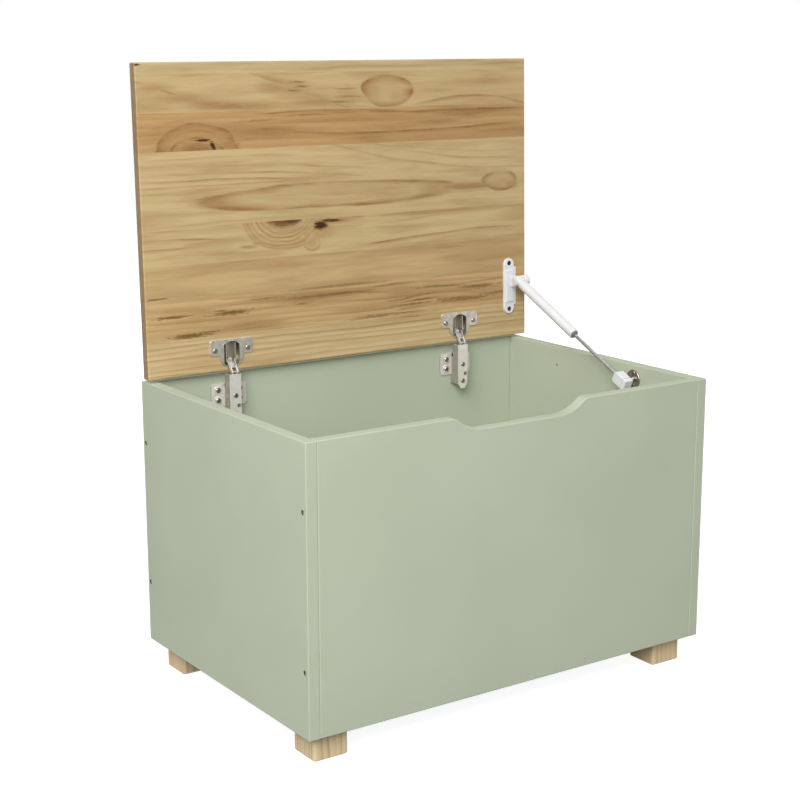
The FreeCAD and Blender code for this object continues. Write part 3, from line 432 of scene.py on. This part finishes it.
def makePine(name, look, finish):
    material, tree, shader = startMaterial(name, {"IOR": finish["ior"]})
    here = add(tree, "TexCoord")
    place = localMm(tree, here["Object"], lidPlane)

    def grain(kind, further=0.0):
        run, wide, detail, offset = finish["grains"][kind]
        shift = offset + further
        drawn = add(tree, "Mapping", {"Vector": place, "Scale": (1 / run, 1 / wide, 1 / wide),
                                      "Location": (shift, shift, 0)})[0]
        return add(tree, "TexNoise", {"Vector": drawn, "Scale": 1.0, "Detail": detail})[0]

    fibre = grain("fibre")       # and hair, its plus and minus about the middle
    hair = add(tree, "Math", {0: fibre, 1: 0.5}, operation="SUBTRACT")[0]
    pores = grain("pores")       # and fray, likewise
    fray = add(tree, "Math", {0: pores, 1: 0.5}, operation="SUBTRACT")[0]
    low, high = noiseSpan
    least, most = finish["patchy"]
    patchy = add(tree, "MapRange", {0: grain("patches"), 1: low, 2: high, 3: least, 4: most})[0]
    patchy = add(tree, "Math", {0: hair, 1: finish["hairline"], 2: patchy}, operation="MULTIPLY_ADD")[0]
    # the board's own place, swayed along its length so that no line runs true
    far = finish["swayMm"]
    sway = add(tree, "Math", {0: grain("sway"), 1: far, 2: -far / 2}, operation="MULTIPLY_ADD")[0]
    ripple = {0: grain("ripple"), 1: finish["rippleMm"], 2: sway}
    sway = add(tree, "Math", ripple, operation="MULTIPLY_ADD")[0]
    far = finish["bulgeMm"]
    bulge = add(tree, "Math", {0: grain("bulge"), 1: far, 2: -far / 2}, operation="MULTIPLY_ADD")[0]
    shift = add(tree, "CombineXYZ", {0: bulge, 1: sway})[0]
    flat = add(tree, "VectorMath", {0: place, 1: (1, 1, 0), 2: shift}, operation="MULTIPLY_ADD")[0]
    axes = add(tree, "SeparateXYZ", {0: flat})
    x, u = axes[0], axes[1]
    depth = add(tree, "SeparateXYZ", {0: place})[2]

    def reach(x0, u0, rx, ru, fuzz, ragged):     # 1 on the ellipse, its outline broken by the fibres
        near = add(tree, "Mapping", {"Vector": flat, "Location": (x0, u0, 0), "Scale": (rx, ru, 1)},
                   vector_type="TEXTURE")[0]
        out = add(tree, "VectorMath", {0: near}, operation="LENGTH")["Value"]
        return add(tree, "Math", {0: fuzz, 1: ragged, 2: out}, operation="MULTIPLY_ADD")[0]

    def spot(shape, kind, fuzz):          # a patch that fades toward its outline
        *ellipse, amount = shape
        out = reach(*ellipse, fuzz, finish[kind]["ragged"])
        return add(tree, "MapRange", {0: out, 1: finish[kind]["inner"], 2: finish[kind]["outer"], 3: amount,
                                      4: 0.0}, interpolation_type="SMOOTHSTEP")[0]

    def lateWood(offset, width):          # swells slowly up to its line, then stops
        line = finish["swell"][-1][0]
        stop = (min(1.0, line + finish["swellStop"] / abs(width)), "#000000")
        span = add(tree, "Math", {0: offset, 1: line / width, 2: line}, operation="MULTIPLY_ADD")[0]
        swell = add(tree, "ValToRGB", {0: span}, finish["swell"] + [stop])[0]
        return add(tree, "Math", {0: swell, 1: patchy}, operation="MULTIPLY")[0]

    # faint rings round the log's heart
    x0, u0, heart = look["pith"]
    along = add(tree, "Math", {0: x, 1: x0}, operation="SUBTRACT")[0]
    lift = add(tree, "Math", {0: along, 1: look["bow"], 2: look["tilt"]}, operation="MULTIPLY_ADD")[0]
    lift = add(tree, "Math", {0: along, 1: lift, 2: heart}, operation="MULTIPLY_ADD")[0]
    lift = add(tree, "Math", {0: lift, 1: depth}, operation="SUBTRACT")[0]
    side = add(tree, "Math", {0: u, 1: u0}, operation="SUBTRACT")[0]
    arm = add(tree, "CombineXYZ", {0: side, 1: lift})[0]
    radius = add(tree, "VectorMath", {0: arm}, operation="LENGTH")["Value"]
    count = add(tree, "Math", {0: radius, 1: look["ring"]}, operation="DIVIDE")[0]
    strength, phase = growRings(tree, count, finish["faintest"] * look["rings"], look["rings"])
    low, high = finish["ringRise"]
    ring = add(tree, "MapRange", {0: phase, 1: low, 2: high, 3: 0.0, 4: strength},
               interpolation_type="SMOOTHSTEP")[0]
    low, high = finish["driftSpan"]
    drift = grain("drift", look["ring"])     # a different part of the noise for each ring width
    drift = add(tree, "MapRange", {0: drift, 1: low, 2: high, 3: 0.0, 4: finish["driftShare"]})[0]
    brown = add(tree, "Math", {0: ring, 1: drift}, operation="MAXIMUM")[0]

    for shape in look["clouds"]:
        cloud = spot(shape, "clouds", hair)
        brown = add(tree, "Math", {0: cloud, 1: finish["cloudShare"], 2: brown}, operation="MULTIPLY_ADD")[0]
    for start, end, x0, u0, slope, curve, width, amount in look["bands"]:
        along = add(tree, "Math", {0: x, 1: x0}, operation="SUBTRACT")[0]
        line = add(tree, "Math", {0: along, 1: curve, 2: slope}, operation="MULTIPLY_ADD")[0]
        line = add(tree, "Math", {0: along, 1: line, 2: u0}, operation="MULTIPLY_ADD")[0]
        offset = add(tree, "Math", {0: u, 1: line}, operation="SUBTRACT")[0]
        ragged = {0: hair, 1: finish["bandRagged"], 2: offset}
        offset = add(tree, "Math", ragged, operation="MULTIPLY_ADD")[0]
        run = add(tree, "Math", {0: x, 1: 2 / (end - start), 2: (start + end) / (start - end)},
                  operation="MULTIPLY_ADD")[0]
        run = add(tree, "Math", {0: run}, operation="ABSOLUTE")[0]
        run = add(tree, "MapRange", {0: run, 1: finish["bandFade"], 2: 1.0, 3: amount, 4: 0.0},
                  interpolation_type="SMOOTHSTEP")[0]
        mark = add(tree, "Math", {0: lateWood(offset, width), 1: run}, operation="MULTIPLY")[0]
        brown = add(tree, "Math", {0: brown, 1: mark}, operation="MAXIMUM")[0]
    for x0, u0, rx, ru, width, amount in look.get("ovals", []):
        edge = reach(x0, u0, rx, ru, hair, finish["ovalRagged"])
        edge = add(tree, "Math", {0: edge, 1: ru, 2: -ru}, operation="MULTIPLY_ADD")[0]
        mark = add(tree, "Math", {0: lateWood(edge, width), 1: amount}, operation="MULTIPLY")[0]
        brown = add(tree, "Math", {0: brown, 1: mark}, operation="MAXIMUM")[0]
    for shape in look.get("hearts", []):
        brown = add(tree, "Math", {0: brown, 1: spot(shape, "hearts", hair)}, operation="MAXIMUM")[0]
    low, high = finish["fleckSpan"]
    amount = look.get("flecks", finish["flecks"])
    fleck = add(tree, "MapRange", {0: pores, 1: low, 2: high, 3: 0.0, 4: amount})[0]
    brown = add(tree, "Math", {0: brown, 1: fleck, 2: brown}, operation="MULTIPLY_ADD")[0]
    tones = {0: brown, 6: linear(look["early"]), 7: linear(look["late"])}
    wood = add(tree, "Mix", tones, data_type="RGBA")[2]

    low, high = noiseSpan
    light, dark = finish["fibreShade"]
    shade = add(tree, "MapRange", {0: fibre, 1: low, 2: high, 3: light, 4: dark})[0]
    wood = add(tree, "VectorMath", {0: wood, "Scale": shade}, operation="SCALE")[0]
    for kind in ("streaks", "knots"):
        spots = [spot(shape, kind, fray) for shape in look.get(kind, [])]
        for i in range(1, len(spots)):
            spots[i] = add(tree, "Math", {0: spots[i - 1], 1: spots[i]}, operation="MAXIMUM")[0]
        if spots:
            stain = linear(finish[kind]["colour"])
            wood = add(tree, "Mix", {0: spots[-1], 6: wood, 7: stain}, data_type="RGBA")[2]
    ends = towardEnds(tree, here["Normal"], finish["endShare"])
    wood = add(tree, "Mix", {0: ends, 6: wood, 7: linear(finish["endGrain"])}, data_type="RGBA")[2]
    tree.links.new(wood, shader["Base Color"])
    giveSkin(tree, shader, fibre, fibre, finish["skin"])
    return material


for number, look in pineStaves.items():
    dress(makePine("honeyPineStave%d" % number, look, pineFinish), "lid_stave_%d" % number)
print("lid staves grained")


# planed bare pine feet: pale, upright grain with a few wide rings
footPine = {
    "early": "#D9C39C",
    "late": "#BA996D",
    "ior": 1.48,
    "ringMm": 5.0,
    "slant": 0.62,                # how much the rings turn toward the sides
    "bendMm": 14.0,
    "bendPerMetre": (30, 30, 6),  # a bend is about 33 mm across and 170 mm up the foot
    "strength": (0.35, 1.2),      # of the faintest ring and the strongest
    "swell": [(0.0, "#000000"), (0.3, "#000000"), (0.7, "#B0B0B0"), (0.93, "#FFFFFF"), (1.0, "#000000")],
    "fibreMm": 0.7,               # real fibres are finer: drawn this coarse so that they show
    "fibreRunMm": 25.0,
    "fibreShade": (0.92, 1.05),
    "skin": {"span": noiseSpan, "sheen": (0.64, 0.54), "dent": 0.4, "depthMm": 0.06},
}


def makeFootPine(look):
    material, tree, shader = startMaterial("planedPineFoot", {"IOR": look["ior"]})
    place = add(tree, "TexCoord")["Object"]
    bend = add(tree, "Mapping", {"Vector": place, "Scale": look["bendPerMetre"]})[0]
    bend = add(tree, "TexNoise", {"Vector": bend, "Scale": 1.0, "Detail": 2.0})[0]
    axes = add(tree, "SeparateXYZ", {0: place})
    across = add(tree, "Math", {0: axes[0], 1: look["slant"], 2: axes[1]}, operation="MULTIPLY_ADD")[0]
    across = add(tree, "Math", {0: bend, 1: look["bendMm"] / 1000, 2: across}, operation="MULTIPLY_ADD")[0]
    count = add(tree, "Math", {0: across, 1: 1000 / look["ringMm"]}, operation="MULTIPLY")[0]
    strength, phase = growRings(tree, count, *look["strength"])
    swell = add(tree, "ValToRGB", {0: phase}, look["swell"])[0]
    brown = add(tree, "Math", {0: swell, 1: strength}, operation="MULTIPLY")[0]
    tones = {0: brown, 6: linear(look["early"]), 7: linear(look["late"])}
    wood = add(tree, "Mix", tones, data_type="RGBA")[2]
    fine = 1000 / look["fibreMm"]
    fibre = add(tree, "Mapping", {"Vector": place, "Scale": (fine, fine, 1000 / look["fibreRunMm"])})[0]
    fibre = add(tree, "TexNoise", {"Vector": fibre, "Scale": 1.0, "Detail": 3.0})[0]
    low, high = noiseSpan
    dark, light = look["fibreShade"]
    shade = add(tree, "MapRange", {0: fibre, 1: low, 2: high, 3: dark, 4: light})[0]
    wood = add(tree, "VectorMath", {0: wood, "Scale": shade}, operation="SCALE")[0]
    tree.links.new(wood, shader["Base Color"])
    giveSkin(tree, shader, fibre, fibre, look["skin"])
    return material


feet = ["foot_%s_%s" % (end, side) for end in ("front", "back") for side in ("left", "right")]
dress(makeFootPine(footPine), *feet, "base_dowels")
print("feet grained")


# plated and plain metals: nickel on pressed steel, drawn lighter on the arm and plate as painted light and
# darker on the links and cup as painted shade, with painted shade on folded sides and in hollows; ground
# rod; screws drawn dark as painted shade
metals = {
    # the arm and plate: the plating drawn lighter than on the other nickel parts, painted light
    "nickelPlatedSteel": {"colour": "#F2EEE9", "dull": "#E4DFD8", "metallic": 0.45, "sheen": (0.44, 0.32),
                          "patchMm": 9.0, "scratchMm": 0.35, "flankShade": "#8F8879"},
    # the links and the cup: the same plating drawn darker, painted shade
    "nickelPlatedLink": {"colour": "#D2CDC5", "dull": "#BDB7AD", "metallic": 0.7, "sheen": (0.4, 0.28),
                         "patchMm": 6.0, "scratchMm": 0.35, "flankShade": "#8F8879"},
    "nickelPlatedCup": {"colour": "#CFCAC0", "dull": "#B5AFA2", "metallic": 0.8, "sheen": (0.4, 0.28),
                        "patchMm": 8.0, "scratchMm": 0.35,
                        # its inside drawn darker with depth below the flange: painted shade
                        "hollow": {**lidPlane, "axis": 2, "ends": (-0.8, -7.0), "colour": "#A8A296"}},
    # screws and stud plate: nickel drawn darker than the plating, painted shade for their recesses
    "brightNickelScrew": {"colour": "#A69F95", "dull": "#857E74", "metallic": 0.9, "sheen": (0.41, 0.31),
                          "patchMm": 3.0, "scratchMm": 0.3},
    "groundSteelRod": {"colour": "#B6B6B8", "dull": "#9E9EA0", "metallic": 0.9, "sheen": (0.33, 0.27),
                       "patchMm": 6.0, "scratchMm": 0.3},
    # screws drawn near black: painted shade in their holes
    "blackenedScrew": {"colour": "#2E2921", "dull": "#1C1813", "metallic": 0.3, "sheen": (0.68, 0.56),
                       "patchMm": 2.0, "scratchMm": 0.3},
}
metalFinish = {
    "tones": (0.32, 0.6),      # patch values of the dull tone and of the full colour
    "flankShadeShare": 0.8,         # how far folded sides go to their painted shade
    "hollowShare": 0.9,        # and how far hollows go to their painted shade
    "patchWear": 0.6,          # patches beside scratches, in what wears the sheen
    "skin": {"span": (0.5, 1.1), "dent": 0.15, "depthMm": 0.02},
}
# painted shade on the hinge plate behind the arm, drawn near black: ends are mm to either side of the arm's
# middle
shadeBehindArm = {"lean": 0.0, "axis": 0, "ends": (6.4, 5.6), "colour": "#3A362F"}


def makeMetal(name, look, finish):
    material, tree, shader = startMaterial(name, {"Metallic": look["metallic"]})
    here = add(tree, "TexCoord")
    place = here["Object"]
    patch = add(tree, "TexNoise", {"Vector": place, "Scale": 1000 / look["patchMm"], "Detail": 3.0})[0]
    dullAt, colourAt = finish["tones"]
    tone = add(tree, "ValToRGB", {0: patch}, [(dullAt, look["dull"]), (colourAt, look["colour"])])[0]
    # painted shade on the folded sides, the faces turned toward the chest's ends
    if "flankShade" in look:
        facing = towardEnds(tree, here["Normal"], finish["flankShadeShare"])
        tone = add(tree, "Mix", {0: facing, 6: tone, 7: linear(look["flankShade"])}, data_type="RGBA")[2]
    # painted shade: darker over the given span along one axis
    if "hollow" in look:
        hollow = look["hollow"]
        local = localMm(tree, place, hollow)
        if hollow["axis"] == 0:          # alike on both sides
            local = add(tree, "VectorMath", {0: local}, operation="ABSOLUTE")[0]
        depth = add(tree, "SeparateXYZ", {0: local})[hollow["axis"]]
        start, end = hollow["ends"]
        depth = add(tree, "MapRange", {0: depth, 1: start, 2: end, 3: 0.0, 4: finish["hollowShare"]})[0]
        tone = add(tree, "Mix", {0: depth, 6: tone, 7: linear(hollow["colour"])}, data_type="RGBA")[2]
    tree.links.new(tone, shader["Base Color"])
    fine = add(tree, "TexNoise", {"Vector": place, "Scale": 1000 / look["scratchMm"], "Detail": 2.0})[0]
    wear = add(tree, "Math", {0: patch, 1: finish["patchWear"], 2: fine}, operation="MULTIPLY_ADD")[0]
    giveSkin(tree, shader, wear, fine, {**finish["skin"], "sheen": look["sheen"]})
    return material


metalOf = {name: makeMetal(name, look, metalFinish) for name, look in metals.items()}
for side in ("left", "right"):
    hinge = side + "_hinge_"
    dress(metalOf["nickelPlatedSteel"], hinge + "arm")
    dress(metalOf["nickelPlatedLink"], hinge + "outer_link", hinge + "inner_link", hinge + "arm_pins",
          hinge + "cup_pins")
    dress(metalOf["nickelPlatedCup"], hinge + "cup")
    low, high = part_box(side + "_hinge_arm")
    middle = ((low[0] + high[0]) / 2, 0.0, 0.0)
    plateLook = {**metals["nickelPlatedSteel"], "hollow": {**shadeBehindArm, "at": middle}}
    dress(makeMetal(side + "NickelPlate", plateLook, metalFinish), hinge + "plate")
    dress(metalOf["brightNickelScrew"], hinge + "cup_screws", hinge + "plate_screws", hinge + "adjusters")
dress(metalOf["brightNickelScrew"], "strut_stud_plate", "strut_plate_screws")
dress(metalOf["groundSteelRod"], "strut_rod", "strut_ball_stud")
dress(metalOf["blackenedScrew"], "corner_screws", "foot_screws", "strut_bracket_screws")
print("hinges plated")


# moulded plastics of the strut: white ABS with a soft skin, and a grey rubber wiper
plastics = {
    "whiteAbs": {"colour": "#DEDFE1", "shade": "#D8D9DB", "ior": 1.52, "grainMm": 0.6,
                 "skin": {"span": noiseSpan, "sheen": (0.4, 0.5), "dent": 0.3, "depthMm": 0.008}},
    "greyRubber": {"colour": "#8B8D8C", "shade": "#767877", "ior": 1.5, "grainMm": 0.5,
                   "skin": {"span": noiseSpan, "sheen": (0.57, 0.67), "dent": 0.3, "depthMm": 0.012}},
}
plasticCloud = {"sizeMm": 25.0, "tones": (0.35, 0.6)}    # faint unevenness in the colour


def makePlastic(name, look, cloud):
    material, tree, shader = startMaterial(name, {"IOR": look["ior"]})
    place = add(tree, "TexCoord")["Object"]
    uneven = add(tree, "TexNoise", {"Vector": place, "Scale": 1000 / cloud["sizeMm"], "Detail": 2.0})[0]
    shadeAt, colourAt = cloud["tones"]
    tone = add(tree, "ValToRGB", {0: uneven}, [(shadeAt, look["shade"]), (colourAt, look["colour"])])[0]
    tree.links.new(tone, shader["Base Color"])
    grain = add(tree, "TexNoise", {"Vector": place, "Scale": 1000 / look["grainMm"], "Detail": 1.0})[0]
    giveSkin(tree, shader, grain, grain, look["skin"])
    return material


plasticOf = {name: makePlastic(name, look, plasticCloud) for name, look in plastics.items()}
dress(plasticOf["whiteAbs"], "strut_lid_bracket", "strut_cylinder", "strut_rod_end", "strut_pivot_pin")
dress(plasticOf["greyRubber"], "strut_gland")
print("strut moulded")
